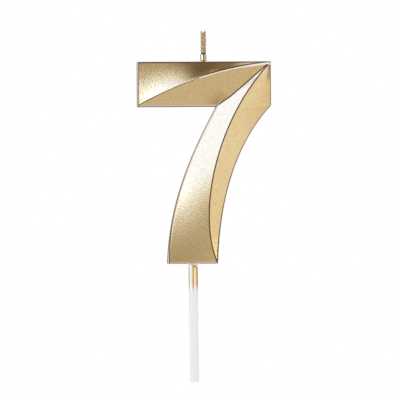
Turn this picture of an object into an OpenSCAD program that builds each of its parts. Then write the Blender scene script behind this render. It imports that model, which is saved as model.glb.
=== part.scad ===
// Number birthday candle, the digit 7: a lacquered wax casting on a plastic pick, with a braided wick.
// The front faces -Y. The origin is on the pick's axis, at the top of the pick's straight wall.
// The digit's outline is drawn in its own plane, as [x, height above the digit's underside].

/* [Digit] */
// Height of the digit
digit_h = 70.2; // [66:0.1:76]
// Height of the bar
bar_h = 15.8; // [14:0.1:17]
// Reach of the bar to the left of the pick's axis
bar_left = 19.15; // [17:0.05:22]
// Reach of the bar to the right of the pick's axis
bar_right = 27.5; // [26:0.1:30]
// Distance from the pick's axis to the corner between the bar and the leg
corner_x = 8.2; // [7.5:0.1:9.5]
// Reach of the foot to the left of the pick's axis
foot_left = 9.0; // [8.5:0.1:10]
// Reach of the foot to the right of the pick's axis
foot_right = 8.75; // [8.5:0.05:10]
// Thickness of the digit at its edge
edge_t = 6; // [5.5:0.1:8]
// Height of the facets' common peak above the front edge
peak_h = 5; // [3:0.1:7]
// Draft of the side walls, from the back outline to the front one
draft = 0.6; // [0.3:0.05:0.8]
// Thickness of the gold lacquer
lacquer_t = 0.2; // [0.1:0.05:0.3]

/* [Pick] */
// Diameter of the shank
shank_d = 3.1; // [2.8:0.05:3.4]
// Length of the shank, below its shoulder
shank_l = 39.6; // [30:0.1:60]
// Diameter of the waist between the shoulder and the wax
waist_d = 2.7; // [2.6:0.05:2.75]
// Length of the waist
waist_l = 0.5; // [0.3:0.05:0.8]
// Height of the rounded shoulder
shoulder_h = 0.35; // [0.2:0.05:0.4]
// Diameter of the anchor inside the wax
anchor_d = 2.3; // [2:0.05:2.4]
// Length of the anchor inside the wax
anchor_l = 13; // [8:0.5:16]
// Radial clearance of the anchor in its socket
anchor_gap = 0.05; // [0.03:0.01:0.08]

/* [Wick] */
// Distance from the pick's axis to the wick's axis
wick_x = 4.0; // [0:0.1:10]
// Diameter of the wick's waxed core
stem_d = 1.6; // [1.2:0.1:1.7]
// Depth of the wick inside the bar
stem_depth = 12; // [6:0.5:13]
// Diameter of the smooth waxed neck
neck_d = 2.14; // [2:0.02:2.4]
// Height of the neck above the digit
neck_h = 2.2; // [1.5:0.1:3]
// Length of the bare braid
braid_l = 8.3; // [6:0.1:12]
// Diameter of the bare braid
braid_d = 2.0; // [1.9:0.05:2.05]
// Diameter of one yarn
yarn_d = 0.4; // [0.36:0.01:0.42]
// Full turns that each yarn makes along the braid
yarn_turns = 1.75; // [1:0.25:2.5]

/* [Hidden] */
yarn_count = 8;
eps = 0.01;
margin = 1;

// Sides of the round parts
shank_sides = 96;
socket_sides = 64;
wick_sides = 48;

// Heights along the candle
boss_z = shoulder_h + waist_l;
boss_h = 0.35;
boss_d = 3.5;
digit_z = boss_z + boss_h;
digit_top = digit_z + digit_h;
neck_top = digit_top + neck_h;

// Samples along the curves
top_steps = 24;
corner_step = 10;
leg_steps = 38;
corner_t = 0.78;

// Control points of the digit's curves, from the foot up
bar_z = digit_h - bar_h;
right_corner_z = bar_z + 0.4;
leg_left_curve = [[-foot_left, 0], [-8.3, 20.3], [-1.35, 37], [corner_x, bar_z]];
leg_right_curve = [[foot_right, 0], [9.4, 20.6], [14.4, 40.9], [bar_right, right_corner_z]];
peak_inset = 0.35;
bar_ridge_bend = [3.2, 67.0];
leg_ridge_low = [1.4, 16.3];
leg_ridge_high = [6.9, 48.5];

// The facets slope, so a coat on them is this much thicker along Y than across itself
facet_slope = 1.2;

function bezier(p, t) =
    len(p) == 1 ? p[0]
    : (1 - t) * bezier([for (i = [0:len(p) - 2]) p[i]], t)
      + t * bezier([for (i = [1:len(p) - 1]) p[i]], t);
function unit(v) = v / norm(v);
function right_of(v) = [v[1], -v[0]];

// Moves each corner of a clockwise outline inwards, so that every edge moves by d
function inset_corner(before, here, after, d) =
    let (n1 = right_of(unit(here - before)), n2 = right_of(unit(after - here)))
    here + d * (n1 + n2) / (1 + n1 * n2);
function inset(p, d) =
    let (n = len(p))
    [for (i = [0:n - 1]) inset_corner(p[(i + n - 1) % n], p[i], p[(i + 1) % n], d)];

// Parameter of the leg's ridge at a step: 1 at the peak, 0 at the foot
function leg_t(j) =
    j <= corner_step ? 1 - (1 - corner_t) * j / corner_step
    : corner_t * (leg_steps - j) / (leg_steps - corner_step);

// The digit's outline, clockwise: bar top, right side, foot, leg's left side, bar's lower left corner
function top_side() =
    [for (i = [0:top_steps]) [-bar_left + (bar_left + bar_right) * i / top_steps, digit_h]];
function right_side() =
    [for (j = [1:leg_steps])
        j <= corner_step
        ? [bar_right, digit_h + (right_corner_z - digit_h) * j / corner_step]
        : bezier(leg_right_curve, leg_t(j) / corner_t)];
function left_side() =
    [for (j = [leg_steps:-1:corner_step]) bezier(leg_left_curve, leg_t(j) / corner_t)];
outline = concat(top_side(), right_side(), left_side(), [[-bar_left, bar_z]]);

// Places in the outline's list
outline_n = len(outline);
top_right = top_steps;
foot_right_i = top_steps + leg_steps;
foot_left_i = foot_right_i + 1;
inner_corner = foot_left_i + leg_steps - corner_step;
bar_corner = outline_n - 1;

// Points and faces of the digit, with every surface moved inwards by t
ridge_start = 2 * outline_n;
leg_ridge_start = ridge_start + top_steps;
valley_start = leg_ridge_start + leg_steps - 1;

function at_back(p, t) = [for (q = p) [q[0], edge_t / 2 - t, q[1]]];
function at_front(q, h, t) = [q[0], -edge_t / 2 - h + facet_slope * t, q[1]];
function digit_points(t) =
    let (
        front = inset(outline, draft + t),
        peak = front[top_right] - [peak_inset, peak_inset],
        rise = peak_h / (peak[1] - front[bar_corner][1]),
        bar_ridge = [front[bar_corner], bar_ridge_bend, peak],
        leg_ridge = [front[foot_right_i], leg_ridge_low, leg_ridge_high, peak]
    )
    concat(
        at_back(inset(outline, t), t),
        [for (q = front) at_front(q, 0, t)],
        [for (i = [1:top_steps])
            let (q = bezier(bar_ridge, i / top_steps))
            at_front(q, rise * (q[1] - front[bar_corner][1]), t)],
        [for (j = [1:leg_steps - 1])
            let (u = leg_t(j))
            at_front(bezier(leg_ridge, u), peak_h * u * (2 - u), t)],
        [for (j = [1:corner_step - 1])
            let (q = peak + (front[inner_corner] - peak) * j / corner_step)
            at_front(q, rise * (q[1] - front[bar_corner][1]), t)]
    );

function front_i(i) = outline_n + i;
function bar_ridge_i(i) = i == 0 ? front_i(bar_corner) : ridge_start + i - 1;
peak_i = bar_ridge_i(top_steps);
function leg_ridge_i(j) =
    j == 0 ? peak_i : j == leg_steps ? front_i(foot_right_i) : leg_ridge_start + j - 1;
function right_i(j) = front_i(top_right + j);
function leg_left_i(j) = foot_left_i + leg_steps - j;
function left_i(j) =
    j == 0 ? peak_i
    : j < corner_step ? valley_start + j - 1
    : front_i(leg_left_i(j));
function strip(a, b, c, d) =
    concat(a == b ? [] : [[a, b, c]], c == d ? [] : [[a, c, d]]);
function digit_faces() = concat(
    [[inner_corner, 0, bar_corner]],
    [for (i = [0:top_right + corner_step - 1]) [inner_corner, i + 1, i]],
    [for (j = [corner_step:leg_steps - 1])
        each strip(top_right + j + 1, top_right + j, leg_left_i(j), leg_left_i(j + 1))],
    [for (i = [0:outline_n - 1])
        let (k = (i + 1) % outline_n)
        each strip(i, k, front_i(k), front_i(i))],
    [for (i = [0:top_steps - 1])
        each strip(front_i(i), front_i(i + 1), bar_ridge_i(i + 1), bar_ridge_i(i))],
    [concat(
        [for (i = [0:top_steps]) bar_ridge_i(i)],
        [for (j = [1:corner_step]) left_i(j)]
    )],
    [for (j = [0:leg_steps - 1])
        each strip(left_i(j), leg_ridge_i(j), leg_ridge_i(j + 1), left_i(j + 1))],
    [for (j = [0:leg_steps - 1])
        each strip(leg_ridge_i(j), right_i(j), right_i(j + 1), leg_ridge_i(j + 1))]
);

module digit_solid(t) {
    translate([0, 0, digit_z])
        polyhedron(points = digit_points(t), faces = digit_faces(), convexity = 6);
}

module at_wick(z) {
    translate([wick_x, 0, z])
        children();
}

// Socket for the anchor, and the wick's channel down from the bar's top
socket_l = anchor_l + 0.5;
module pick_socket() {
    translate([0, 0, boss_z - eps])
        cylinder(d = anchor_d + 2 * anchor_gap, h = socket_l + eps, $fn = socket_sides);
}
module wick_channel() {
    at_wick(digit_top - stem_depth)
        cylinder(d = stem_d, h = stem_depth + margin, $fn = wick_sides);
}

// Wax casting, with a small boss at its foot that seats on the pick's waist
module wax_digit() {
    color("ivory")
        difference() {
            union() {
                digit_solid(lacquer_t);
                translate([0, 0, boss_z])
                    cylinder(d = boss_d, h = boss_h + margin, $fn = socket_sides);
            }
            pick_socket();
            wick_channel();
        }
}

// Lacquer over the whole casting, open at the boss and at the wick
module gold_lacquer() {
    color("goldenrod")
        difference() {
            digit_solid(0);
            digit_solid(lacquer_t);
            translate([0, 0, boss_z])
                cylinder(d = boss_d, h = boss_h + margin, $fn = socket_sides);
            wick_channel();
        }
}

// The braid leaves the neck in a shallow round cup, so that it can bend over
bend_lift = 0.7;
bend_z = neck_top + bend_lift;
cup_r = 1.07;
module bend_cup() {
    at_wick(bend_z)
        sphere(r = cup_r, $fn = wick_sides);
}

// Waxed end of the wick, cast into the bar
module wick_stem() {
    color("wheat")
        difference() {
            at_wick(digit_top - stem_depth)
                cylinder(d = stem_d, h = stem_depth + neck_h, $fn = wick_sides);
            bend_cup();
        }
}

// Smooth sleeve of lacquered wax round the foot of the wick
module wick_neck() {
    color("goldenrod")
        difference() {
            at_wick(digit_top)
                cylinder(d = neck_d, h = neck_h, $fn = wick_sides);
            at_wick(digit_top - margin)
                cylinder(d = stem_d, h = neck_h + 2 * margin, $fn = wick_sides);
            bend_cup();
        }
}

// One yarn of the round braid. Odd yarns wind one way and even yarns the other,
// each passing over one crossing and under the next.
yarn_sides = 6;
yarn_rings = 44;
weave = yarn_d / 2;
braid_path_r = (braid_d - yarn_d) / 2 - weave;
braid_foot_r = 0.52;
foot_len = 0.8;
function yarn_way(i) = i % 2 == 1 ? 1 : -1;
function yarn_angle(i, s) = 360 * (i / yarn_count + yarn_way(i) * yarn_turns * s);
function yarn_swell(i, s) =
    yarn_way(i) * sin(4 * 360 * yarn_turns * s) * weave;
function yarn_r(i, s) =
    let (f = min(1, s * braid_l / foot_len))
    (1 - f) * braid_foot_r + f * (braid_path_r + yarn_swell(i, s));
function yarn_point(i, s) =
    let (a = yarn_angle(i, s), r = yarn_r(i, s))
    [r * cos(a), r * sin(a), s * braid_l];
function yarn_ring(i, k) =
    let (
        s = k / yarn_rings,
        ds = 0.25 / yarn_rings,
        along = k == 0 || k == yarn_rings ? [0, 0, 1]
            : unit(yarn_point(i, s + ds) - yarn_point(i, s - ds)),
        a = yarn_angle(i, s),
        side = unit(cross(along, [cos(a), sin(a), 0])),
        up = cross(side, along)
    )
    [for (q = [0:yarn_sides - 1])
        yarn_point(i, s)
        + yarn_d / 2 * (side * cos(360 * q / yarn_sides) + up * sin(360 * q / yarn_sides))];
function tube_faces(sides, rings) = concat(
    [[for (q = [sides - 1:-1:0]) q]],
    [[for (q = [0:sides - 1]) rings * sides + q]],
    [for (k = [0:rings - 1], q = [0:sides - 1])
        let (a = k * sides + q, b = k * sides + (q + 1) % sides)
        each strip(a, b, b + sides, a + sides)]
);
module wick_yarn(i) {
    color("khaki")
        at_wick(neck_top)
            polyhedron(
                points = [for (k = [0:yarn_rings]) each yarn_ring(i, k)],
                faces = tube_faces(yarn_sides, yarn_rings),
                convexity = 10
            );
}

// Plastic pick: a straight shank, a rounded shoulder, a waist, and a ringed anchor in the wax
end_round = 0.25;
ring_pitch = 2;
ring_cut = 0.15;
ring_w = 0.6;
quarter_steps = 6;

// A quarter of an ellipse round [cx, cz], as [radius, height] points
function quarter(cx, cz, rx, rz, from) =
    [for (k = [0:quarter_steps])
        let (a = from + 90 * k / quarter_steps)
        [cx + rx * cos(a), cz + rz * sin(a)]];
module pick() {
    shank_r = shank_d / 2;
    waist_r = waist_d / 2;
    anchor_r = anchor_d / 2;
    round_z = boss_z + anchor_l - end_round;
    color("white")
        difference() {
            rotate_extrude($fn = shank_sides)
                polygon(concat(
                    [[0, -shank_l]],
                    quarter(shank_r - end_round, end_round - shank_l, end_round, end_round, -90),
                    quarter(waist_r, 0, shank_r - waist_r, shoulder_h, 0),
                    [[waist_r, boss_z], [anchor_r, boss_z]],
                    quarter(anchor_r - end_round, round_z, end_round, end_round, 0),
                    [[0, boss_z + anchor_l]]
                ));
            for (z = [boss_z + ring_pitch:ring_pitch:boss_z + anchor_l - ring_pitch])
                translate([0, 0, z])
                    difference() {
                        cylinder(r = anchor_r + margin, h = ring_w, $fn = socket_sides);
                        cylinder(r = anchor_r - ring_cut, h = ring_w, $fn = socket_sides);
                    }
        }
}

wax_digit();
gold_lacquer();
wick_stem();
wick_neck();
wick_yarn(1);  // wick_yarn_1
wick_yarn(2);  // wick_yarn_2
wick_yarn(3);  // wick_yarn_3
wick_yarn(4);  // wick_yarn_4
wick_yarn(5);  // wick_yarn_5
wick_yarn(6);  // wick_yarn_6
wick_yarn(7);  // wick_yarn_7
wick_yarn(8);  // wick_yarn_8
pick();
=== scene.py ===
"""Looks of the number birthday candle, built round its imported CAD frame.

Shapes are worked out in millimetres, in the frame's own axes, and MM turns them into metres when a
mesh is made. The front faces -Y, and the origin is on the pick's axis at the top of its shank.
"""

import math
import random

import bmesh
import bpy
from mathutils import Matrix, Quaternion, Vector, kdtree, noise

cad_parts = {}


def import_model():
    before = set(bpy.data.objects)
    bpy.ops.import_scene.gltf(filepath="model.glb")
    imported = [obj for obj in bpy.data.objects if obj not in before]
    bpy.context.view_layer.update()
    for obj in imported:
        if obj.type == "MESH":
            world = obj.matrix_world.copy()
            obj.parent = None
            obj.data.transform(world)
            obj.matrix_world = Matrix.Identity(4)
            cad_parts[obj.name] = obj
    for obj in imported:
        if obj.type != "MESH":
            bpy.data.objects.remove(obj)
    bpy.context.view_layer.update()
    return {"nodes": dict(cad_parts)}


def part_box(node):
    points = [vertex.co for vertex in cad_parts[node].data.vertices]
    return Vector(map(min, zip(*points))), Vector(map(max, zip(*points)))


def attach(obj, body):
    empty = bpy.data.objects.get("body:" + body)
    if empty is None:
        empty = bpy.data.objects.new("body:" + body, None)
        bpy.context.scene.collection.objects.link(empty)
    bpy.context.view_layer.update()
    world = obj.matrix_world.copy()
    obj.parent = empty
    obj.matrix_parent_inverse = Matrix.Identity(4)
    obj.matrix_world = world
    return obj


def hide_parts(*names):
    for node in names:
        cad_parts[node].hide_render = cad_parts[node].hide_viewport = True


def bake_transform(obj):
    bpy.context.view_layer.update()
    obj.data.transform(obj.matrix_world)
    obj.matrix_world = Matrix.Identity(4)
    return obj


MM = 0.001
SEED = 7
MERGE_DIST = 1e-7
WHITE = (1.0, 1.0, 1.0, 1.0)

# The digit's curves, in its own plane: x and the height above its underside. part.scad has the same.
FOOT_LEFT = -9.0
FOOT_RIGHT = 8.75
BAR_H = 15.8
CORNER_X = 8.2
RIGHT_CORNER_DROP = 0.4
LEG_LEFT_BENDS = [(-8.3, 20.3), (-1.35, 37.0)]
LEG_RIGHT_BENDS = [(9.4, 20.6), (14.4, 40.9)]
BAR_RIDGE_BEND = (3.2, 67.0)
LEG_RIDGE_BENDS = [(1.4, 16.3), (6.9, 48.5)]
CORNER_T = 0.78
PEAK_INSET = 0.35
EDGE_T = 6.0
DRAFT = 0.6
LACQUER_T = 0.2
FLARE_CURVE = 1.8
FLARE_DEPTH = 0.45
FLARE_SHARE = 0.52
RIM_START = 0.74
FRONT_INSET = 1.2
# Painted shade along the back rim: a dark band on the walls from this far behind the middle to this far, in
# mm
RIM_SHADE = (1.7, 2.9)
MASK_REACH = 1.0
VALLEY_BOW = (0.3, -0.4)

# How tightly edges are held: a smaller distance gives a sharper edge
CORNER_HOLD = 0.75
EDGE_HOLD = 0.32
RIDGE_HOLD = 0.26

# About how long each side and ridge is, which turns a hold into a share of it
TOP_LENGTH = 46
EDGE_LENGTH = 15
LEG_LENGTH = 56
FOOT_LENGTH = 18
UNDER_LENGTH = 27
LEFT_LENGTH = 16
BAR_RIDGE_LENGTH = 50
VALLEY_LENGTH = 24

# The wick and the pick
WICK_X = 4.0
STEM_R = 0.8
STEM_DEPTH = 12.0
CUP_R = 1.07
BEND_LIFT = 0.7
YARNS = 8
YARN_R = 0.27
YARN_TURNS = 1.75
YARN_WEAVE = 0.1
YARN_SPREAD_H = 0.8
YARN_FOOT_R = 0.52
YARN_RINGS = 120
YARN_FIBRES = 9
BRAID_R = 1.03
SHANK_R = 1.55
WAIST_R = 1.35
ANCHOR_R = 1.15
SHOULDER_H = 0.35
BOSS_Z = 0.85
BOSS_R = 1.75
SOCKET_R = 1.2
SOCKET_L = 13.5
PICK_LEAN = 0.007
SPRAY_TOP = -5.6
SPRAY_END = -8.6


# ---------------------------------------------------------------- small helpers


def bezier(points, t):
    """A point of a Bezier curve, by repeated halving between neighbours."""
    while len(points) > 1:
        points = [p.lerp(q, t) for p, q in zip(points, points[1:])]
    return points[0]


def smooth(low, high, value):
    """0 below low, 1 above high, and a smooth step between."""
    t = min(1.0, max(0.0, (value - low) / (high - low)))
    return t * t * (3 - 2 * t)


def held(steps, first, last):
    """Shares of a side from 0 to 1: its ends, a support near each end, and even steps between."""
    first = min(first, 0.22)
    last = min(last, 0.22)
    inner = [first + (1 - first - last) * i / steps for i in range(steps + 1)]
    return [0.0] + inner + [1.0]


def held_corners(steps, length):
    """Shares of a side of about this length, with a tight corner at each end."""
    return held(steps, CORNER_HOLD / length, CORNER_HOLD / length)


def new_object(name, verts_mm, faces):
    """A mesh object from points in millimetres, with equal points joined and normals outwards."""
    mesh = bpy.data.meshes.new(name)
    mesh.from_pydata([Vector(v) * MM for v in verts_mm], [], faces)
    bm = bmesh.new()
    bm.from_mesh(mesh)
    bmesh.ops.remove_doubles(bm, verts=bm.verts, dist=MERGE_DIST)
    bmesh.ops.recalc_face_normals(bm, faces=bm.faces)
    bm.to_mesh(mesh)
    bm.free()
    for face in mesh.polygons:
        face.use_smooth = True
    obj = bpy.data.objects.new(name, mesh)
    bpy.context.scene.collection.objects.link(obj)
    return obj


def apply_modifiers(obj):
    """Turns the object's modifiers into its mesh."""
    graph = bpy.context.evaluated_depsgraph_get()
    made = bpy.data.meshes.new_from_object(obj.evaluated_get(graph))
    obj.modifiers.clear()
    old = obj.data
    obj.data = made
    bpy.data.meshes.remove(old)


def subdivide(obj, levels):
    modifier = obj.modifiers.new("rounded", "SUBSURF")
    modifier.levels = levels
    modifier.render_levels = levels
    apply_modifiers(obj)


def combine(obj, other, operation):
    """Joins other to obj, or cuts it from obj, and removes other."""
    modifier = obj.modifiers.new(operation.lower(), "BOOLEAN")
    modifier.operation = operation
    modifier.solver = "EXACT"
    modifier.object = other
    apply_modifiers(obj)
    bpy.data.objects.remove(other)


def lathe(name, profile, centre_x=0.0, sides=64, shape=None):
    """A solid turned from (radius, height) points; shape(angle, z) scales the radius."""
    verts, faces = [], []
    for r, z in profile:
        for k in range(sides):
            a = 2 * math.pi * k / sides
            scale = shape(a, z) if shape else 1.0
            verts.append((centre_x + r * scale * math.cos(a), r * scale * math.sin(a), z))
    for i in range(len(profile) - 1):
        for k in range(sides):
            a, b = i * sides + k, i * sides + (k + 1) % sides
            faces.append((a, b, b + sides, a + sides))
    last = (len(profile) - 1) * sides
    faces.append(tuple(reversed(range(sides))))
    faces.append(tuple(range(last, last + sides)))
    return new_object(name, verts, faces)


def arc(cx, cz, rx, rz, start, end, steps=6):
    """Points of an elliptical arc as (radius, height), with the angles in degrees."""
    angles = [math.radians(start + (end - start) * i / steps) for i in range(steps + 1)]
    return [(cx + rx * math.cos(a), cz + rz * math.sin(a)) for a in angles]


# ---------------------------------------------------------------- materials


class Shader:
    """A material with a Principled shader, and short calls for the nodes that feed it."""

    def __init__(self, name, **constants):
        self.material = bpy.data.materials.new(name)
        self.material.use_nodes = True
        self.nodes = self.material.node_tree.nodes
        self.links = self.material.node_tree.links
        self.bsdf = self.nodes["Principled BSDF"]
        for socket, value in constants.items():
            self.bsdf.inputs[socket.replace("_", " ")].default_value = value

    def add(self, kind, **properties):
        node = self.nodes.new(kind)
        for key, value in properties.items():
            setattr(node, key, value)
        return node

    def put(self, socket, value):
        """Links a node's output to a socket, or sets the socket to a number or colour."""
        if isinstance(value, bpy.types.NodeSocket):
            self.links.new(value, socket)
        else:
            socket.default_value = value

    def place(self, scale=(1.0, 1.0, 1.0)):
        """The piece's own coordinates in metres, stretched by scale."""
        coords = self.add("ShaderNodeTexCoord")
        mapping = self.add("ShaderNodeMapping")
        mapping.inputs["Scale"].default_value = scale
        self.links.new(coords.outputs["Object"], mapping.inputs["Vector"])
        return mapping.outputs["Vector"]

    def noise(self, size_mm, detail=3.0, stretch=(1.0, 1.0, 1.0)):
        node = self.add("ShaderNodeTexNoise")
        node.inputs["Scale"].default_value = 1.0 / (size_mm * MM)
        node.inputs["Detail"].default_value = detail
        self.links.new(self.place(stretch), node.inputs["Vector"])
        return node.outputs["Fac"]

    def attribute(self, name):
        """A number stored on the mesh's points, or 0 on a mesh without it."""
        return self.add("ShaderNodeAttribute", attribute_name=name).outputs["Fac"]

    def height(self):
        """The piece's own height in millimetres."""
        split = self.add("ShaderNodeSeparateXYZ")
        self.links.new(self.place((1 / MM, 1 / MM, 1 / MM)), split.inputs["Vector"])
        return split.outputs["Z"]

    def math(self, operation, a, b=0.5, clamp=False):
        node = self.add("ShaderNodeMath", operation=operation, use_clamp=clamp)
        self.put(node.inputs[0], a)
        self.put(node.inputs[1], b)
        return node.outputs["Value"]

    def ramp(self, value, low, high, to_low, to_high):
        """value from low to high, mapped to to_low to to_high."""
        node = self.add("ShaderNodeMapRange", interpolation_type="SMOOTHSTEP")
        self.put(node.inputs["Value"], value)
        for key, number in (("From Min", low), ("From Max", high), ("To Min", to_low), ("To Max", to_high)):
            self.put(node.inputs[key], number)
        return node.outputs["Result"]

    def mix(self, share, a, b):
        node = self.add("ShaderNodeMix", data_type="RGBA")
        self.put(node.inputs["Factor"], share)
        self.put(node.inputs["A"], a)
        self.put(node.inputs["B"], b)
        return node.outputs["Result"]

    def colour(self, value):
        self.put(self.bsdf.inputs["Base Color"], value)

    def rough(self, value):
        self.put(self.bsdf.inputs["Roughness"], value)

    def metallic(self, value):
        self.put(self.bsdf.inputs["Metallic"], value)

    def bump(self, value, height_mm, strength=1.0):
        node = self.add("ShaderNodeBump")
        node.inputs["Strength"].default_value = strength
        node.inputs["Distance"].default_value = height_mm * MM
        self.links.new(value, node.inputs["Height"])
        self.links.new(node.outputs["Normal"], self.bsdf.inputs["Normal"])


GOLD = (0.92, 0.54, 0.21, 1.0)
GOLD_LIGHT = (0.98, 0.58, 0.23, 1.0)
GOLD_DEEP = (0.945, 0.555, 0.215, 1.0)
GOLD_GRAIN = (0.66, 0.37, 0.13, 1.0)
GOLD_CORNER_SHADE = (0.58, 0.30, 0.10, 1.0)
GOLD_PAINTED_SHADE = (0.085, 0.032, 0.003, 1.0)
# Painted highlight: the pale cream of the highlight lines along the ridges and edges
PAINTED_HIGHLIGHT = (0.98, 0.93, 0.80, 1.0)
PLASTIC = (0.87, 0.87, 0.88, 1.0)
IVORY_DARK = (0.80, 0.74, 0.60, 1.0)
IVORY_LIGHT = (0.90, 0.86, 0.75, 1.0)
YARN_SHADE = (0.32, 0.18, 0.06, 1.0)
YARN_GOLD = (0.46, 0.29, 0.10, 1.0)
YARN_COTTON = (0.98, 0.76, 0.45, 1.0)
WAXED_DARK = (0.62, 0.54, 0.38, 1.0)
WAXED_LIGHT = (0.84, 0.77, 0.60, 1.0)
BOARD_DARK = (0.80, 0.80, 0.79, 1.0)
BOARD_LIGHT = (0.86, 0.86, 0.85, 1.0)

# Masks stored on the mesh. The painted shade and painted highlight ones hold how deep a point lies inside a
# line, in mm, and the corner shade one holds how much painted shade darkens the lacquer there.
MASK_EDGE = 0.1
PAINTED_SHADE_MASK = "painted_shade"
PAINTED_HIGHLIGHT_MASK = "painted_highlight"
CORNER_SHADE_MASK = "corner_shade"
# Painted corner shade: its reach in mm, and how dark it is at the inner corner and at the right corner
RECESS_R = 3.6
RECESS_SHARE = 0.85
CORNER_SHARE = 0.4


def gold_material():
    """Sprayed metallic gold with pigment grain and mottle, painted shade lines, painted highlight lines and
    painted shade in the corners.
    """
    s = Shader("gold_lacquer")
    mottle = s.noise(1.6, 3.0)
    grain = s.noise(0.4, 2.0)
    painted_shade = s.ramp(s.attribute(PAINTED_SHADE_MASK), 0.0, MASK_EDGE, 0.0, 0.95)
    painted_highlight = s.ramp(s.attribute(PAINTED_HIGHLIGHT_MASK), 0.0, MASK_EDGE, 0.0, 0.95)
    metal = s.mix(s.ramp(mottle, 0.3, 0.7, 0.0, 1.0), GOLD_DEEP, GOLD_LIGHT)
    metal = s.mix(s.ramp(s.noise(0.26, 1.0), 0.34, 0.54, 0.7, 0.0), metal, GOLD_GRAIN)
    # Painted shade where the bar's front runs into the inner corner and the right corner
    metal = s.mix(s.attribute(CORNER_SHADE_MASK), metal, GOLD_CORNER_SHADE)
    # Painted shade lines darken the gold nearly to black, and painted highlight lines make it pale cream
    s.colour(s.mix(painted_highlight, s.mix(painted_shade, metal, GOLD_PAINTED_SHADE), PAINTED_HIGHLIGHT))
    # bare is the share under the painted shade and painted highlight lines, which are drawn without metal
    bare = s.math("MAXIMUM", painted_shade, painted_highlight)
    metal_share = s.math("SUBTRACT", 1.0, bare, clamp=True)
    s.metallic(metal_share)
    s.put(s.bsdf.inputs["Specular IOR Level"], s.math("MULTIPLY", metal_share, 0.5))
    gloss = s.ramp(grain, 0.3, 0.7, 0.11, 0.16)
    s.rough(s.math("ADD", gloss, s.math("MULTIPLY", bare, 0.3)))
    s.bump(grain, 0.05, 1.0)
    return s.material


def plastic_material():
    """White moulded plastic. Gold spray dusts its top up to the wax and thins out, and painted shade
    darkens the sprayed gold at the sides.
    """
    s = Shader("white_plastic", Subsurface_Weight=0.25, Subsurface_Scale=0.002, Specular_IOR_Level=0.12)
    s.bsdf.inputs["Subsurface Radius"].default_value = (1.0, 0.9, 0.8)
    height = s.height()
    speckle = s.noise(0.22, 3.0)
    edge = s.math("ADD", height, s.math("MULTIPLY", s.math("SUBTRACT", speckle, 0.5), 7.0))
    gold = s.ramp(edge, SPRAY_END, SPRAY_TOP, 0.0, 1.0)
    gold = s.math("MULTIPLY", gold, s.ramp(height, BOSS_Z - 0.04, BOSS_Z, 1.0, 0.0))
    # Painted shade darkens the sprayed gold towards the pick's sides
    painted_shade = s.ramp(s.attribute(PAINTED_SHADE_MASK), 0.0, 0.15, 0.0, 0.9)
    s.colour(s.mix(gold, PLASTIC, s.mix(painted_shade, GOLD_DEEP, GOLD_PAINTED_SHADE)))
    s.metallic(s.math("MULTIPLY", gold, s.math("SUBTRACT", 1.0, painted_shade)))
    s.rough(s.ramp(speckle, 0.3, 0.7, 0.26, 0.36))
    s.bump(speckle, 0.004, 0.4)
    return s.material


def wax_material(lacquer_below):
    """Ivory wax; the little boss under the digit carries the lacquer."""
    s = Shader("wax", Subsurface_Weight=0.4, Subsurface_Scale=0.003)
    mottle = s.noise(2.2, 4.0)
    gold = s.ramp(s.height(), lacquer_below, lacquer_below + 0.02, 1.0, 0.0)
    ivory = s.mix(mottle, IVORY_DARK, IVORY_LIGHT)
    s.colour(s.mix(gold, ivory, GOLD_LIGHT))
    s.metallic(gold)
    s.rough(s.ramp(mottle, 0.3, 0.7, 0.32, 0.42))
    s.bump(mottle, 0.03, 0.5)
    return s.material


def wick_material(foot):
    """Cotton yarn dusted with gold, speckled with bare cotton, and darkened with painted shadow where it
    leaves its sleeve.
    """
    s = Shader("wick_yarn", Metallic=0.3, Specular_IOR_Level=0.1)
    fibre = s.noise(0.12, 3.0, (1.0, 1.0, 0.3))
    patch = s.noise(0.4, 2.0)
    gold = s.mix(s.ramp(patch, 0.4, 0.6, 0.0, 1.0), YARN_GOLD, YARN_COTTON)
    gold = s.mix(s.ramp(fibre, 0.36, 0.5, 0.6, 0.0), gold, YARN_SHADE)
    # Painted shadow at the braid's foot, just above the sleeve
    s.colour(s.mix(s.ramp(s.height(), foot + 0.3, foot + 0.9, 0.85, 0.0), gold, GOLD_PAINTED_SHADE))
    s.rough(s.ramp(fibre, 0.3, 0.7, 0.45, 0.62))
    s.bump(fibre, 0.03, 0.8)
    return s.material


def waxed_wick_material():
    """The wick's cast-in foot: cotton soaked with wax."""
    s = Shader("waxed_wick", Subsurface_Weight=0.3, Subsurface_Scale=0.001)
    fibre = s.noise(0.1, 3.0, (1.0, 1.0, 0.25))
    s.colour(s.mix(fibre, WAXED_DARK, WAXED_LIGHT))
    s.rough(s.ramp(fibre, 0.3, 0.7, 0.4, 0.55))
    s.bump(fibre, 0.03, 0.6)
    return s.material


def floor_material():
    """Pale matte board with a faint mottle."""
    s = Shader("floor_board")
    mottle = s.noise(90.0, 4.0)
    s.colour(s.mix(mottle, BOARD_DARK, BOARD_LIGHT))
    s.rough(s.ramp(mottle, 0.3, 0.7, 0.7, 0.85))
    return s.material


# ---------------------------------------------------------------- the digit


def inset(loop, d):
    """Moves every edge of a clockwise closed outline inwards by d."""
    moved = []
    for i, here in enumerate(loop):
        a = (here - loop[i - 1]).normalized()
        b = (loop[(i + 1) % len(loop)] - here).normalized()
        n1 = Vector((a.y, -a.x))
        n2 = Vector((b.y, -b.x))
        moved.append(here + d * (n1 + n2) / (1 + n1.dot(n2)))
    return moved


BAR_UNDER_STEPS = 16
VALLEY_STEPS = 12
LEG_STEPS = 34
BAR_ROWS = 6
FACET_ROWS = 7
WALL_ROWS = 8
SIDE_N = VALLEY_STEPS + 2
TOP_N = BAR_UNDER_STEPS + 2 + SIDE_N
LINE_STEPS = 400


def side_points(corner, bends, end, shares):
    curve = [Vector(p) for p in (corner, *bends, end)]
    return [bezier(curve, t) for t in shares]


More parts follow.
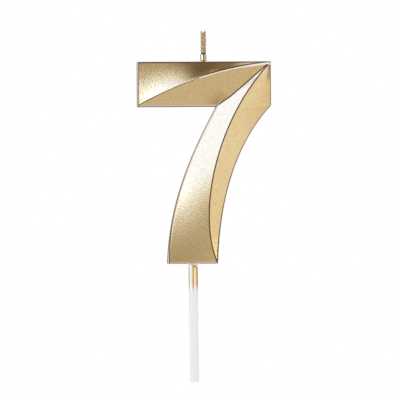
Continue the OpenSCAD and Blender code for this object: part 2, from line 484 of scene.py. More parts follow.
def digit_corners(width_left, width_right, height):
    """The corners of the back outline, clockwise from the top left."""
    bar_z = height - BAR_H
    return {
        "top_left": Vector((width_left, height)),
        "top_right": Vector((width_right, height)),
        "right": Vector((width_right, bar_z + RIGHT_CORNER_DROP)),
        "foot_right": Vector((FOOT_RIGHT, 0.0)),
        "foot_left": Vector((FOOT_LEFT, 0.0)),
        "inner": Vector((CORNER_X, bar_z)),
        "bar_left": Vector((width_left, bar_z)),
    }


def outline(corners):
    """The back outline as sides of points, clockwise, each side starting where the last one ended."""
    c = corners
    top = held_corners(TOP_N - 2, TOP_LENGTH)
    edge = held_corners(SIDE_N - 2, EDGE_LENGTH)
    leg = held_corners(LEG_STEPS, LEG_LENGTH)
    left = held_corners(BAR_ROWS, LEFT_LENGTH)
    foot = held_corners(FACET_ROWS, FOOT_LENGTH)
    under = held_corners(BAR_UNDER_STEPS, UNDER_LENGTH)
    return [
        side_points(c["top_left"], [], c["top_right"], top),
        side_points(c["top_right"], [], c["right"], edge),
        side_points(c["foot_right"], LEG_RIGHT_BENDS, c["right"], [1 - t for t in leg]),
        side_points(c["foot_right"], [], c["foot_left"], foot),
        side_points(c["foot_left"], LEG_LEFT_BENDS, c["inner"], leg),
        side_points(c["inner"], [], c["bar_left"], under),
        side_points(c["bar_left"], [], c["top_left"], left),
    ]


def inset_sides(sides, d):
    """The same sides after the whole outline has moved inwards by d."""
    loop = [p for side in sides for p in side[:-1]]
    moved = inset(loop, d)
    moved.append(moved[0])
    result, start = [], 0
    for side in sides:
        result.append(moved[start:start + len(side)])
        start += len(side) - 1
    return result


class Patchwork:
    """Collects grids of points into one mesh."""

    def __init__(self):
        self.verts, self.faces = [], []

    def grid(self, rows):
        start, width = len(self.verts), len(rows[0])
        self.verts += [p for row in rows for p in row]
        for i in range(len(rows) - 1):
            for k in range(width - 1):
                a = start + i * width + k
                self.faces.append((a, a + 1, a + 1 + width, a + width))

    def strip(self, side_a, side_b, ends, steps, hold):
        """Fills between two sides. ends holds the whole first and last rows, or None where free."""
        rows = []
        for a, b in zip(side_a, side_b):
            share = hold / max((b - a).length, 1e-6)
            rows.append([a.lerp(b, w) for w in held(steps, share, share)])
        for place, row in ends.items():
            rows[place] = row
        self.grid(rows)


def valley_point(peak, inner, t):
    """The valley between the bar and the leg: it bows a little towards the leg before the inner corner."""
    return peak.lerp(inner, t) + Vector(VALLEY_BOW) * t * (1 - smooth(0.75, 1.0, t))


def digit_surface(work, sides, y_edge, peak_h):
    """One broad side of the digit: faceted where peak_h is above 0, flat where it is 0."""
    top, edge, leg_right, foot, leg_left, under, left = sides
    bar_corner, inner = under[-1], under[0]
    peak = top[-1] - Vector((PEAK_INSET, PEAK_INSET))
    rise = peak_h / (peak.y - bar_corner.y)

    def lift(p, h=0.0):
        return Vector((p.x, y_edge - h, p.y))

    def on_bar(p):
        return lift(p, rise * (p.y - bar_corner.y))

    bar_curve = [bar_corner, Vector(BAR_RIDGE_BEND), peak]
    leg_curve = [foot[0], *(Vector(p) for p in LEG_RIDGE_BENDS), peak]
    bar_shares = held_corners(TOP_N - 2, BAR_RIDGE_LENGTH)
    bar_ridge = [on_bar(bezier(bar_curve, t)) for t in bar_shares]
    valley_shares = held_corners(VALLEY_STEPS, VALLEY_LENGTH)
    valley = [on_bar(valley_point(peak, inner, t)) for t in valley_shares]
    above = [1 - (1 - CORNER_T) * t for t in valley_shares]
    below = [CORNER_T * (1 - t) for t in held_corners(LEG_STEPS, LEG_LENGTH)]
    leg_t = above + below[1:]
    leg_ridge = [lift(bezier(leg_curve, t), peak_h * t * (2 - t)) for t in leg_t]

    top = [lift(p) for p in top]
    right = [lift(p) for p in edge + leg_right[1:]]
    leg_side = valley + [lift(p) for p in reversed(leg_left[:-1])]
    under_bar = [lift(p) for p in reversed(under)] + valley[-2::-1]
    left_row = [lift(p) for p in reversed(left)]
    foot_row = [lift(p) for p in reversed(foot)]
    share = RIDGE_HOLD / (top[-1] - bar_ridge[-1]).length
    peak_row = [top[-1].lerp(bar_ridge[-1], w) for w in held(BAR_ROWS, share, share)]

    work.strip(top, bar_ridge, {0: left_row, -1: peak_row}, BAR_ROWS, RIDGE_HOLD)
    work.strip(bar_ridge, under_bar, {}, FACET_ROWS, RIDGE_HOLD)
    work.strip(leg_side, leg_ridge, {-1: foot_row}, FACET_ROWS, RIDGE_HOLD)
    work.strip(leg_ridge, right, {0: peak_row[::-1]}, BAR_ROWS, RIDGE_HOLD)
    return [lift(p) for side in sides for p in side[:-1]]


def wall_point(front, back, w):
    """A point of a side wall: it flares from the front edge, runs straight, and ends in a small rim."""
    flare = 1 - (1 - min(1.0, w / FLARE_DEPTH)) ** FLARE_CURVE
    out = FLARE_SHARE * flare + (1 - FLARE_SHARE) * smooth(RIM_START, 1.0, w)
    return Vector((front.x + (back.x - front.x) * out, front.y + (back.y - front.y) * w,
                   front.z + (back.z - front.z) * out))


def wavy(p, size, depth):
    """A slow, small unevenness, as on any moulded wax."""
    return depth * noise.noise(Vector(p) / size)


def digit_box():
    """The lowest and highest corner of the lacquered digit, in mm."""
    return [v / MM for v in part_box("gold_lacquer")]


def digit_outline():
    """The digit's back outline as the CAD frame has it."""
    lo, hi = digit_box()
    return outline(digit_corners(lo.x, hi.x, hi.z - lo.z))


def digit_mesh(name, t, levels, reversed_skin=False):
    """The digit with every surface moved inwards by t, as a closed and rounded mesh."""
    lo, _ = digit_box()
    sides = digit_outline()
    back = inset_sides(sides, t)
    front = inset_sides(sides, DRAFT + t)
    work = Patchwork()
    front_y = -EDGE_T / 2 + FRONT_INSET * t
    back_y = EDGE_T / 2 - t
    front_loop = digit_surface(work, front, front_y, -EDGE_T / 2 - lo.y)
    back_loop = digit_surface(work, back, back_y, 0.0)
    share = EDGE_HOLD / EDGE_T
    shares = held(WALL_ROWS, share, share)
    ring = list(zip(front_loop, back_loop))
    work.grid([[wall_point(a, b, w) for w in shares] for a, b in ring + ring[:1]])
    verts = []
    for p in work.verts:
        y = p.y + wavy(p, 11.0, 0.02)
        verts.append((p.x, min(y, back_y), p.z + lo.z))
    obj = new_object(name, verts, work.faces)
    subdivide(obj, levels)
    if reversed_skin:
        obj.data.flip_normals()
    return obj


def signed_distances(points, line):
    """For each point: its distance left of a line, its distance from the line, and its share along it."""
    tree = kdtree.KDTree(len(line))
    for i, q in enumerate(line):
        tree.insert((q.x, q.y, 0.0), i)
    tree.balance()
    for p in points:
        _, i, _ = tree.find((p.x, p.y, 0.0))
        k = min(max(i, 1), len(line) - 2)
        along = (line[k + 1] - line[k - 1]).normalized()
        away = p - line[i]
        yield along.x * away.y - along.y * away.x, away.length, i / (len(line) - 1)


def store_mask(obj, name, values):
    """Stores a number at each point, such as how deep it lies inside a mask, in mm."""
    layer = obj.data.attributes.new(name, "FLOAT", "POINT")
    layer.data.foreach_set("value", [min(MASK_REACH, max(-MASK_REACH, value)) for value in values])


def deepest(obj, lines, base_z, start):
    """Adds lines to a mask's depths. A line is a curve, its offset and its half width."""
    depths = list(start)
    front = [(v.index, Vector((v.co.x, v.co.z)) / MM - Vector((0.0, base_z)))
             for v in obj.data.vertices if v.co.y < 0]
    for curve, offset, half in lines:
        for (index, _), (side, away, t) in zip(front, signed_distances([p for _, p in front], curve)):
            if away < 2 * MASK_REACH:
                depths[index] = max(depths[index], half(t) - abs(side - offset(t)))
    return depths


def digit_lines(sides):
    """The curves that the digit's painted shade and painted highlight lines follow, by name."""
    top, _, _, foot, _, under, left = sides
    peak = top[-1] - Vector((PEAK_INSET, PEAK_INSET))

    def sampled(curve):
        return [bezier(curve, i / LINE_STEPS) for i in range(LINE_STEPS + 1)]

    return {
        "bar_ridge": sampled([under[-1], Vector(BAR_RIDGE_BEND), peak]),
        "leg_ridge": sampled([foot[0], *(Vector(p) for p in LEG_RIDGE_BENDS), peak]),
        "leg_edge": sampled([foot[-1], *(Vector(p) for p in LEG_LEFT_BENDS), under[0]]),
        "bar_edge": sampled([left[0], left[-1]]),
        "top_edge": sampled([top[0], top[-1]]),
        "valley": [valley_point(peak, under[0], 1 - i / LINE_STEPS) for i in range(LINE_STEPS + 1)],
    }


def always(value):
    """A function of the share along a line that has one value throughout."""
    return lambda t: value


def shade_lines(lines):
    """The painted shade lines, as (curve, offset, half width) in mm. A half width below 0 leaves no line.
    """
    bar_ridge = lines["bar_ridge"]

    def fading_out(t):
        return 0.17 - 0.3 * smooth(0.4, 0.6, t)

    def fading_in(t):
        return 0.27 + 0.07 * smooth(0.55, 0.7, t) - 0.4 * (1 - smooth(0.4, 0.55, t))

    return [
        (lines["leg_ridge"], always(-0.16), always(0.27)),
        (lines["valley"], always(0.02), lambda t: 0.26 - 0.35 * smooth(0.93, 1.0, t)),
        (bar_ridge, always(-0.16), fading_out),
        (bar_ridge, always(0.28), fading_in),
        (lines["top_edge"], always(0.0), always(0.32)),
        (lines["bar_edge"], always(-0.17), always(0.19)),
        (lines["leg_edge"], always(-0.17), lambda t: 0.19 - 0.3 * smooth(0.15, 0.4, t)),
    ]


def highlight_lines(lines):
    """The painted highlight lines, as (curve, offset, half width) in mm. A half width below 0 leaves no
    line.
    """
    bar_ridge = lines["bar_ridge"]

    def left_part(t):
        return 0.14 * smooth(0.2, 0.3, t) - 0.4 * smooth(0.42, 0.5, t) - 0.03

    def right_offset(t):
        return -0.18 - 0.14 * smooth(0.7, 0.9, t)

    def right_part(t):
        return 0.2 + 0.16 * smooth(0.7, 0.9, t) - 0.5 * (1 - smooth(0.4, 0.5, t))

    return [
        (bar_ridge, always(0.14), left_part),
        (bar_ridge, right_offset, right_part),
        (lines["leg_ridge"], always(-0.56), lambda t: 0.1 * smooth(0.25, 0.5, t)),
        (lines["bar_edge"], always(0.17), always(0.15)),
        (lines["leg_edge"], always(0.17), always(0.15)),
    ]


def corner_shade_shares(obj, sides, lines, base_z):
    """How much painted shade darkens the lacquer at each point, where a facet runs into a corner."""
    inner, right = sides[5][0], sides[2][-1]
    verts = obj.data.vertices
    places = [Vector((v.co.x, v.co.z)) / MM - Vector((0.0, base_z)) for v in verts]
    beside_valley = [side for side, _, _ in signed_distances(places, lines["valley"])]
    beside_ridge = [side for side, _, _ in signed_distances(places, lines["leg_ridge"])]
    shares = []
    for v, p, valley_side, ridge_side in zip(verts, places, beside_valley, beside_ridge):
        on_bar_front = v.co.y <= 0 and p.y >= inner.y
        fades = (RECESS_SHARE * (valley_side > 0.1), inner), (CORNER_SHARE * (ridge_side < 0), right)
        darkest = max(share * math.exp(-(((p - corner).length / RECESS_R) ** 2)) for share, corner in fades)
        shares.append(darkest if on_bar_front else 0.0)
    return shares


def mark_lines(obj, sides, base_z):
    """Marks the thin painted shade lines, the painted highlight lines and the painted shade in the corners.
    """
    lines = digit_lines(sides)
    # Painted shade: a dark band round the walls near the back rim
    first, last = RIM_SHADE
    rim = [min(v.co.y / MM - first, last - v.co.y / MM) for v in obj.data.vertices]
    nowhere = [-MASK_REACH] * len(rim)
    store_mask(obj, PAINTED_SHADE_MASK, deepest(obj, shade_lines(lines), base_z, rim))
    store_mask(obj, PAINTED_HIGHLIGHT_MASK, deepest(obj, highlight_lines(lines), base_z, nowhere))
    store_mask(obj, CORNER_SHADE_MASK, corner_shade_shares(obj, sides, lines, base_z))


def join(obj, other):
    """Adds other's faces to obj and removes other."""
    bm = bmesh.new()
    bm.from_mesh(obj.data)
    bm.from_mesh(other.data)
    bm.to_mesh(obj.data)
    bm.free()
    bpy.data.objects.remove(other)


def rod(name, r, low, high, x=0.0, sides=48):
    return lathe(name, [(r, low), (r, high)], x, sides)


def finish_piece(obj, body, slot, material, *nodes):
    """Gives a piece its material and its body, and hides the CAD nodes that it stands for. The slot is not
    used.
    """
    obj.data.materials.clear()
    obj.data.materials.append(material)
    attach(obj, body)
    if nodes:
        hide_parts(*nodes)


def make_shell(material):
    """The lacquer: an outer skin and an inner one, open at the boss and at the wick."""
    lo, hi = digit_box()
    shell = digit_mesh("gold_shell", 0.0, 2)
    join(shell, digit_mesh("gold_shell_inside", LACQUER_T, 1, True))
    combine(shell, rod("boss_cut", BOSS_R, BOSS_Z, BOSS_Z + 1.0), "DIFFERENCE")
    combine(shell, rod("wick_cut", STEM_R, hi.z - STEM_DEPTH, hi.z + 1.0, WICK_X), "DIFFERENCE")
    mark_lines(shell, inset_sides(digit_outline(), DRAFT), lo.z)
    shell.visible_glossy = False
    finish_piece(shell, "digit", "gold_lacquer", material, "gold_lacquer")


def make_wax(material):
    """The wax casting with its boss, its socket and the wick's channel."""
    top = digit_box()[1].z
    wax = digit_mesh("wax_casting", LACQUER_T, 1)
    rim = 0.12
    rounded = arc(BOSS_R - rim, BOSS_Z + rim, rim, rim, -60, 0, 4)
    boss = lathe("boss", [(BOSS_R - rim, BOSS_Z), *rounded, (BOSS_R, BOSS_Z + 1.2)])
    combine(wax, boss, "UNION")
    combine(wax, rod("socket", SOCKET_R, BOSS_Z - 1.0, BOSS_Z + SOCKET_L), "DIFFERENCE")
    combine(wax, rod("channel", STEM_R, top - STEM_DEPTH, top + 1.0, WICK_X), "DIFFERENCE")
    wax.visible_glossy = False
    finish_piece(wax, "digit", "wax", material, "wax_digit")


# ---------------------------------------------------------------- the pick


def make_pick(material):
    """A moulded rod: parting lines along both sides, a rounded shoulder, a waist and a ringed anchor."""
    lo, hi = (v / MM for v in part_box("pick"))
    end_round = 0.25
    ring_pitch, ring_w, ring_cut = 2.0, 0.6, 0.15
    seam_h = 0.02
    profile = [(0.02, lo.z + 0.06), (SHANK_R - end_round - 0.3, lo.z + 0.04)]
    profile += arc(SHANK_R - end_round, lo.z + end_round, end_round, end_round, -90, 0)
    profile += [(SHANK_R, z) for z in range(int(lo.z) + 1, 0, 2)]
    profile += arc(WAIST_R, 0.0, SHANK_R - WAIST_R, SHOULDER_H, 0, 80)
    profile += [(WAIST_R, SHOULDER_H + 0.06), (WAIST_R, BOSS_Z - 0.03), (WAIST_R - 0.03, BOSS_Z)]
    profile += [(ANCHOR_R, BOSS_Z)]
    z = BOSS_Z + ring_pitch
    while z <= hi.z - ring_pitch + 1e-6:
        deep = ANCHOR_R - ring_cut
        profile += [(ANCHOR_R, z), (deep, z + 0.08), (deep, z + ring_w - 0.08), (ANCHOR_R, z + ring_w)]
        z += ring_pitch
    profile += arc(ANCHOR_R - end_round, hi.z - end_round, end_round, end_round, 0, 90)
    profile += [(0.02, hi.z)]

    def seam(angle, z):
        """The parting line stands a little proud on the two sides, along the shank alone."""
        if not lo.z + 1 < z < 0:
            return 1.0 - seam_h / SHANK_R
        near = abs(math.sin(angle))
        return 1.0 - seam_h / SHANK_R * smooth(0.0, 0.08, near)

    pick = lathe("pick_rod", profile, sides=96, shape=seam)
    # Painted shade on the pick's two sides, where the sprayed gold turns away
    store_mask(pick, PAINTED_SHADE_MASK, [abs(v.co.x) / MM - 0.8 * SHANK_R for v in pick.data.vertices])
    for v in pick.data.vertices:
        v.co.x += PICK_LEAN * max(0.0, -v.co.z)
    finish_piece(pick, "pick", "white_plastic", material, "pick")


# ---------------------------------------------------------------- the wick


def make_neck(material):
    """The lacquered wax sleeve, with a shallow cup where the braid leaves it."""
    lo, hi = (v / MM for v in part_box("wick_neck"))
    radius = (hi.x - lo.x) / 2
    lip = 0.1
    cup_z = hi.z + BEND_LIFT
    profile = [(STEM_R, lo.z), (radius, lo.z)]
    profile += [(radius, lo.z + (hi.z - lo.z - lip) * i / 6) for i in range(1, 7)]
    profile += arc(radius - lip, hi.z - lip, lip, lip, 15, 90, 5)
    inner = STEM_R + 0.001
    profile += [(inner, cup_z - math.sqrt(CUP_R**2 - inner**2))]

    def uneven(angle, z):
        """The wick inside shows through as two soft lobes."""
        share = smooth(lo.z, lo.z + 0.6, z)
        lobes = 0.035 * share * (1 + math.cos(2 * angle)) / 2
        return 1.0 - lobes - 0.012 * abs(wavy((math.cos(angle), z, 0), 0.7, 1))

    neck = lathe("wick_sleeve", profile, WICK_X, 64, uneven)
    # Painted shade: a dark line down the front near the middle, dark sides and a dark back. Painted
    # highlight: a pale line right of the middle
    shade_x, shade_half = 0.12, 0.26
    shine_x, shine_half = 0.56, 0.17
    side_from = 0.7 * radius
    painted_shade, painted_highlight = [], []
    for v in neck.data.vertices:
        x = (v.co.x / MM - WICK_X) if v.co.y < 0 else 2 * radius
        painted_shade.append(max(shade_half - abs(x - shade_x), abs(x) - side_from))
        painted_highlight.append(shine_half - abs(x - shine_x))
    store_mask(neck, PAINTED_SHADE_MASK, painted_shade)
    store_mask(neck, PAINTED_HIGHLIGHT_MASK, painted_highlight)
    finish_piece(neck, "digit", "gold_lacquer", material, "wick_neck")


def yarn_path(i, s, length, foot):
    """A point of yarn i at share s of the braid's length, relative to the braid's foot of radius foot."""
    way = 1 if i % 2 else -1
    angle = 2 * math.pi * (i / YARNS + way * YARN_TURNS * s)
    path_r = BRAID_R - YARN_R - YARN_WEAVE
    swell = way * math.sin(8 * math.pi * YARN_TURNS * s) * YARN_WEAVE
    f = min(1.0, s * length / YARN_SPREAD_H)
    r = (1 - f) * foot + f * (path_r + swell)
    return Vector((r * math.cos(angle), r * math.sin(angle), s * length))


def tube(path, radii, sides, plies=0, twist=0.0, depth=0.0):
    """Rings of points round a path; plies and twist give it the ridges of a twisted yarn."""
    verts, faces = [], []
    count = len(path)
    side = Vector((1.0, 0.0, 0.0))
    for k, here in enumerate(path):
        along = (path[min(k + 1, count - 1)] - path[max(k - 1, 0)]).normalized()
        side = (side - along * side.dot(along)).normalized()
        up = along.cross(side)
        for q in range(sides):
            a = 2 * math.pi * q / sides
            r = radii[k] * (1.0 - depth * (0.5 - 0.5 * math.cos(plies * (a - twist * k))))
            verts.append(here + r * (side * math.cos(a) + up * math.sin(a)))
    for k in range(count - 1):
        for q in range(sides):
            a, b = k * sides + q, k * sides + (q + 1) % sides
            faces.append((a, b, b + sides, a + sides))
    faces.append(tuple(reversed(range(sides))))
    faces.append(tuple(range((count - 1) * sides, count * sides)))
    return verts, faces


def add_tube(verts, faces, made, offset):
    start = len(verts)
    verts += [p + offset for p in made[0]]
    faces += [tuple(start + v for v in f) for f in made[1]]


def fibre_path(root, lean, length, rng):
    """A short fibre that leaves the cut end and bends outwards."""
    bend = Vector((rng.uniform(-1, 1), rng.uniform(-1, 1), 0.0)) * 0.12
    steps = 5
    return [
        root + Vector((0, 0, length * i / steps)) + (lean + bend * i / steps) * (i / steps) ** 1.5
        for i in range(steps + 1)
    ]


def yarn_radius(k):
    """A yarn is thinner where it leaves its sleeve and at its cut end."""
    opening = 0.82 + 0.18 * smooth(0, 8, k)
    closing = 1 - 0.35 * smooth(YARN_RINGS - 4, YARN_RINGS, k)
    return YARN_R * opening * closing


def make_braid(material):
    """Eight yarns, woven in a round braid, with a cut and slightly frayed end."""
    lo, hi = (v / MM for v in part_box("wick_yarn_1"))
    foot_z, length = lo.z, hi.z - lo.z
    rng = random.Random(SEED)
    offset = Vector((WICK_X, 0.0, foot_z))
    verts, faces = [], []
    radii = [yarn_radius(k) for k in range(YARN_RINGS + 1)]
    for i in range(1, YARNS + 1):
        outwards = abs(yarn_path(i, 0.95, length, YARN_FOOT_R).x) / BRAID_R
        end = 0.925 + 0.05 * smooth(0.25, 0.6, outwards) + rng.uniform(-0.008, 0.008)
        path = [yarn_path(i, end * k / YARN_RINGS, length, YARN_FOOT_R) for k in range(YARN_RINGS + 1)]
        add_tube(verts, faces, tube(path, radii, 12, 3, 0.33, 0.22), offset)
        tip = path[-1]
        for _ in range(YARN_FIBRES):
            root = tip + Vector((rng.uniform(-1, 1), rng.uniform(-1, 1), -1.2)) * 0.13
            out = Vector((tip.x, tip.y, 0.0)).normalized() * rng.uniform(0.0, 0.12)
            tall = rng.uniform(0.25, 0.6) * (0.6 + 0.5 * abs(tip.x))
            path_up = fibre_path(root, out, min(tall, length - root.z - 0.02), rng)
            taper = [0.035 * (1 - 0.6 * n / (len(path_up) - 1)) for n in range(len(path_up))]
            add_tube(verts, faces, tube(path_up, taper, 5), offset)
    braid = new_object("wick_braid", verts, faces)
    braid.data.materials.append(material)
    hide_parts(*[f"wick_yarn_{i}" for i in range(1, YARNS + 1)])
    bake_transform(braid)


# ---------------------------------------------------------------- camera, light and floor

VIEW_CENTRE = (2.53, 23.33)
VIEW_DISTANCE = 800.0
VIEW_HEIGHT = 138.35
VIEW_YAW = 1.25
VIEW_ROLL = 0.35

# Light by direction. Azimuth is 0 straight ahead and grows to the right, elevation is 0 when level, and
# both are in degrees. A ramp is (from, to) for 0 to 1, or (from, to, value at from, value at to). A name
# that ends in LIGHT without a ramp is a level, or the two levels at the left and at the right.
PANEL_LIGHT = 40.0
PANEL_LEFT = (-140, -122)
PANEL_RIGHT = (-26, -2, 1.0, 0.0)
PANEL_TOP = (14, 56, 1.0, 0.0)
PANEL_FOOT = (-15, 18)
PANEL_SLOPE = 0.5
PANEL_TOP_SLOPES_FROM = -27.0
PANEL_TOP_RISES_BY = 30.0
PANEL_FOOT_SLOPES_FROM = -38.0
CEILING = (12, 60, 0.45, 0.12)
GROUND = (-42, 0, 0.45, 0.0)
RIGHT_SIDE = (12, 50)
RIGHT_BRIGHTER_BELOW = (-15, 2, 1.1, 0.6)
RIGHT_FOOT = (-34, -23, 0.1, 1.12)
RIGHT_TOP = (15, 50, 1.0, 0.0)
DARK_SIDE = (80, 94)
DARK_FOOT = (-7, -3)
DARK_TOP = (-1, 2, 1.0, 0.0)
DARK_LIGHT = 0.04
DIM_LEFT_SIDE = (-118, -104, 1.0, 0.0)
DIM_LEFT_TOP = (0, 12, 1.0, 0.0)
DIM_LEFT_LIGHT = 0.3
BEHIND = (143, 152)
BEHIND_SIDES = (-20, 20)
BEHIND_SIDE_LIGHT = (0.35, 0.06)
BEHIND_MIDDLE = (165, 172)
BEHIND_MIDDLE_LIGHT = 0.4
BEHIND_ABOVE = (3, 8)
BEHIND_ABOVE_LIGHT = (8, 56, 2.4, 0.2)
BEHIND_BELOW = (-8, -3, 1.0, 0.0)
BEHIND_BELOW_LIGHT = 0.7
WARM_RIGHT_TOP = (0, 20, 1.0, 0.0)
WARM_GROUND = (-40, -15, 0.35, 0.0)
WARM_BACK = (128, 146)
WARM_BACK_FOOT = (-8, -2)
WARM_BACK_TOP = (3, 30, 1.0, 0.3)
FILL_SIDES = (-60, 90)
FILL_LEFT = (0.965, 0.965, 0.97, 1.0)
FILL_RIGHT = (0.90, 0.88, 0.85, 1.0)
ROLL_OFF = 0.65
WARM_SIDE = (1.38, 1.0, 0.82, 1.0)
WARM_BEHIND = (1.0, 0.68, 0.4, 1.0)
GOLD_GRAZING = (0.95, 0.72, 0.5, 1.0)
LAMPS = {
    "low_card": {
        "place": (52.0, -52.0, -12.0),
        "size": (50.0, 30.0),
        "radiance": (0.94, 1.19, 1.57),
        "aim": (0.0, 0.0, -12.0),
    },
    "corner_light": {
        "place": (-145.0, -300.0, 108.0),
        "size": (72.0, 72.0),
        "radiance": (1.0, 1.6, 3.6),
        "aim": (-15.0, -3.0, 60.0),
    },
}
FLOOR_Z = -300.0
FLOOR_SIZE = 700.0


def make_camera():
    """A long lens straight in front of the digit, a trace rolled."""
    camera = bpy.data.objects.new("camera", bpy.data.cameras.new("camera"))
    bpy.context.scene.collection.objects.link(camera)
    bpy.context.scene.camera = camera
    camera.data.sensor_width = 36.0
    camera.data.lens = 36.0 * VIEW_DISTANCE / VIEW_HEIGHT
    yaw = math.radians(VIEW_YAW)
    away = Vector((-math.sin(yaw), -math.cos(yaw), 0.0))
    target = Vector((VIEW_CENTRE[0], 0.0, VIEW_CENTRE[1]))
    camera.location = (target + away * VIEW_DISTANCE) * MM
    roll = Quaternion((0, 0, 1), -math.radians(VIEW_ROLL))
    camera.rotation_euler = ((-away).to_track_quat("-Z", "Y") @ roll).to_euler()


class WorldNodes:
    """The world's node tree, with short calls for the nodes that shape its light.

    The world is never sampled as a lamp, because its colour depends on the kind of ray that meets it.
    """

    def __init__(self):
        world = bpy.data.worlds.new("studio")
        bpy.context.scene.world = world
        world.cycles.sampling_method = "NONE"
        world.use_nodes = True
        self.tree = world.node_tree
        self.tree.nodes.clear()

    def add(self, kind, **properties):
        node = self.tree.nodes.new(kind)
        for key, value in properties.items():
            setattr(node, key, value)
        return node

    def put(self, socket, value):
        if isinstance(value, bpy.types.NodeSocket):
            self.tree.links.new(value, socket)
        else:
            socket.default_value = value

    def ramp(self, value, low, high, to_low=0.0, to_high=1.0):
        node = self.add("ShaderNodeMapRange", interpolation_type="SMOOTHSTEP")
        numbers = (value, low, high, to_low, to_high)
        for socket, number in zip(("Value", "From Min", "From Max", "To Min", "To Max"), numbers):
            self.put(node.inputs[socket], number)
        return node.outputs["Result"]

    def calc(self, operation, a, b=0.0):
        node = self.add("ShaderNodeMath", operation=operation)
        self.put(node.inputs[0], a)
        self.put(node.inputs[1], b)
        return node.outputs["Value"]

    def product(self, *values):
        result = values[0]
        for value in values[1:]:
            result = self.calc("MULTIPLY", result, value)
        return result

    def vector(self, operation, a, b):
        node = self.add("ShaderNodeVectorMath", operation=operation)
        self.put(node.inputs[0], a)
        self.put(node.inputs[1], b)
        return node.outputs["Vector"]

    def blend(self, share, a, b):
        node = self.add("ShaderNodeMix", data_type="FLOAT")
        for socket, value in (("Factor", share), ("A", a), ("B", b)):
            self.put(node.inputs[socket], value)
        return node.outputs["Result"]

    def mix(self, share, a, b):
        node = self.add("ShaderNodeMix", data_type="RGBA")
        for socket, value in (("Factor", share), ("A", a), ("B", b)):
            self.put(node.inputs[socket], value)
        return node.outputs["Result"]


def panel_share(w, azimuth, elevation):
    """How far a direction lies inside the tall panel on the left: 1 inside, falling softly to 0."""
    leftwards = w.calc("MAXIMUM", w.calc("SUBTRACT", PANEL_TOP_SLOPES_FROM, azimuth), 0.0)
    rise = w.calc("MINIMUM", w.calc("MULTIPLY", leftwards, PANEL_SLOPE), PANEL_TOP_RISES_BY)
    far_left = w.calc("MAXIMUM", w.calc("SUBTRACT", PANEL_FOOT_SLOPES_FROM, azimuth), 0.0)
    return w.product(
        w.ramp(azimuth, *PANEL_RIGHT),
        w.ramp(azimuth, *PANEL_LEFT),
        w.ramp(w.calc("SUBTRACT", elevation, rise), *PANEL_TOP),
        w.ramp(w.calc("ADD", elevation, w.calc("MULTIPLY", far_left, PANEL_SLOPE)), *PANEL_FOOT),
    )


def front_light(w, azimuth, elevation):
    """The studio in front of the candle: a grey room, a lit right side and the panel on the left."""
    right = w.product(
        w.ramp(azimuth, *RIGHT_SIDE),
        w.ramp(elevation, *RIGHT_BRIGHTER_BELOW),
        w.ramp(elevation, *RIGHT_FOOT),
        w.ramp(elevation, *RIGHT_TOP),
    )
    room = w.calc("ADD", w.ramp(elevation, *CEILING), w.ramp(elevation, *GROUND))
    light = w.calc("ADD", room, right)
    dark = w.product(
        w.ramp(azimuth, *DARK_SIDE),
        w.ramp(elevation, *DARK_FOOT),
        w.ramp(elevation, *DARK_TOP),
    )
    light = w.blend(dark, light, DARK_LIGHT)
    brighter = w.calc("POWER", w.calc("DIVIDE", PANEL_LIGHT, light), panel_share(w, azimuth, elevation))
    light = w.calc("MULTIPLY", light, brighter)
    dim = w.product(w.ramp(azimuth, *DIM_LEFT_SIDE), w.ramp(elevation, *DIM_LEFT_TOP))
    return w.blend(dim, light, DIM_LEFT_LIGHT)


def back_light(w, azimuth, elevation):
    """The studio behind the candle, brightest just above level."""
    light = w.blend(w.ramp(azimuth, *BEHIND_SIDES), *BEHIND_SIDE_LIGHT)
    middle = w.ramp(w.calc("ABSOLUTE", azimuth), *BEHIND_MIDDLE)
    light = w.blend(middle, light, BEHIND_MIDDLE_LIGHT)
    light = w.blend(w.ramp(elevation, *BEHIND_ABOVE), light, w.ramp(elevation, *BEHIND_ABOVE_LIGHT))
    return w.blend(w.ramp(elevation, *BEHIND_BELOW), light, BEHIND_BELOW_LIGHT)


def studio_light(w, azimuth, elevation):
    """How bright the studio is in each direction."""
    behind = w.ramp(w.calc("ABSOLUTE", azimuth), *BEHIND)
    return w.blend(behind, front_light(w, azimuth, elevation), back_light(w, azimuth, elevation))


def studio_tints(w, azimuth, elevation):
    """The light's own colour in each direction, and the colour that the gold mirrors it with."""
    warm = w.product(w.ramp(azimuth, *RIGHT_SIDE), w.ramp(elevation, *WARM_RIGHT_TOP))
    warm = w.calc("MAXIMUM", warm, w.ramp(elevation, *WARM_GROUND))
    behind = w.product(w.ramp(w.calc("ABSOLUTE", azimuth), *WARM_BACK), w.ramp(elevation, *WARM_BACK_FOOT))
    low_behind = w.product(behind, w.ramp(elevation, *WARM_BACK_TOP))
    own = w.vector("MULTIPLY", w.mix(warm, WHITE, WARM_SIDE), w.mix(low_behind, WHITE, WARM_BEHIND))
    return own, w.mix(behind, GOLD, GOLD_GRAZING)


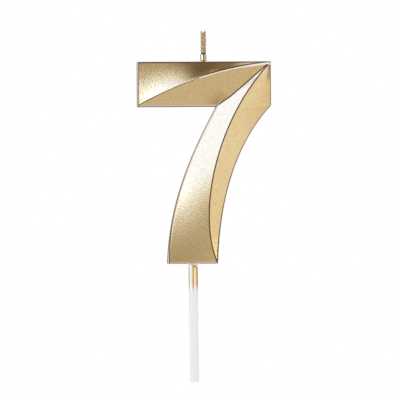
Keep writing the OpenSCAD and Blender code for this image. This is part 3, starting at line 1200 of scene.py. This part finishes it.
def make_world():
    """A soft white studio: a tall panel on the left, a grey front, a dark ceiling and a white backdrop."""
    w = WorldNodes()
    coords = w.add("ShaderNodeTexCoord")
    split = w.add("ShaderNodeSeparateXYZ")
    w.tree.links.new(coords.outputs["Generated"], split.inputs["Vector"])
    x, y, z = (split.outputs[axis] for axis in "XYZ")
    degree = 180.0 / math.pi
    azimuth = w.product(w.calc("ARCTAN2", x, w.product(y, -1.0)), degree)
    elevation = w.product(w.calc("ARCSINE", z), degree)
    light = studio_light(w, azimuth, elevation)

    # Film rolls off the brightest reflections to white. Each colour is rolled off as the gold mirrors it.
    own, tint = studio_tints(w, azimuth, elevation)
    grey = w.add("ShaderNodeCombineXYZ")
    for socket in grey.inputs:
        w.put(socket, light)
    plain = w.vector("MULTIPLY", grey.outputs["Vector"], own)
    mirrored = w.vector("MULTIPLY", plain, tint)
    rolled = w.vector("DIVIDE", plain, w.vector("ADD", mirrored, (ROLL_OFF,) * 3))

    path = w.add("ShaderNodeLightPath")
    fill = w.mix(w.ramp(azimuth, *FILL_SIDES), FILL_LEFT, FILL_RIGHT)
    colour = w.mix(path.outputs["Is Diffuse Ray"], rolled, fill)
    colour = w.mix(path.outputs["Is Camera Ray"], colour, WHITE)
    background = w.add("ShaderNodeBackground")
    w.put(background.inputs["Color"], colour)
    output = w.add("ShaderNodeOutputWorld")
    w.tree.links.new(background.outputs["Background"], output.inputs["Surface"])


def make_floor(material):
    """A pale board, well below the candle, which is held up by its pick."""
    half = FLOOR_SIZE / 2
    corners = [(x * half, y * half, FLOOR_Z) for x, y in ((-1, -1), (1, -1), (1, 1), (-1, 1))]
    floor = new_object("floor", corners, [(0, 1, 2, 3)])
    floor.data.materials.append(material)
    floor.visible_glossy = False
    floor.visible_diffuse = False


def make_lamp(name, place, size, radiance, aim):
    """A small soft light, in mm and by the radiance of each colour, that only glossy surfaces show."""
    light = bpy.data.lights.new(name, "AREA")
    light.shape = "RECTANGLE"
    light.size, light.size_y = size[0] * MM, size[1] * MM
    strongest = max(radiance)
    light.color = [value / strongest for value in radiance]
    light.energy = strongest * math.pi * light.size * light.size_y
    lamp = bpy.data.objects.new(name, light)
    bpy.context.scene.collection.objects.link(lamp)
    lamp.location = Vector(place) * MM
    lamp.rotation_euler = (Vector(aim) - Vector(place)).to_track_quat("-Z", "Z").to_euler()
    lamp.visible_camera = False
    lamp.visible_diffuse = False


def main():
    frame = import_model()
    bpy.context.scene.view_settings.view_transform = "Standard"
    make_camera()
    make_world()
    for name, lamp in LAMPS.items():
        make_lamp(name, **lamp)
    make_floor(floor_material())

    gold = gold_material()
    make_shell(gold)
    make_wax(wax_material(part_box("gold_lacquer")[0].z / MM))
    make_neck(gold)
    make_pick(plastic_material())
    make_braid(wick_material(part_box("wick_neck")[1].z / MM))
    stem = frame["nodes"]["wick_stem"]
    stem.data.materials.clear()
    stem.data.materials.append(waxed_wick_material())


main()
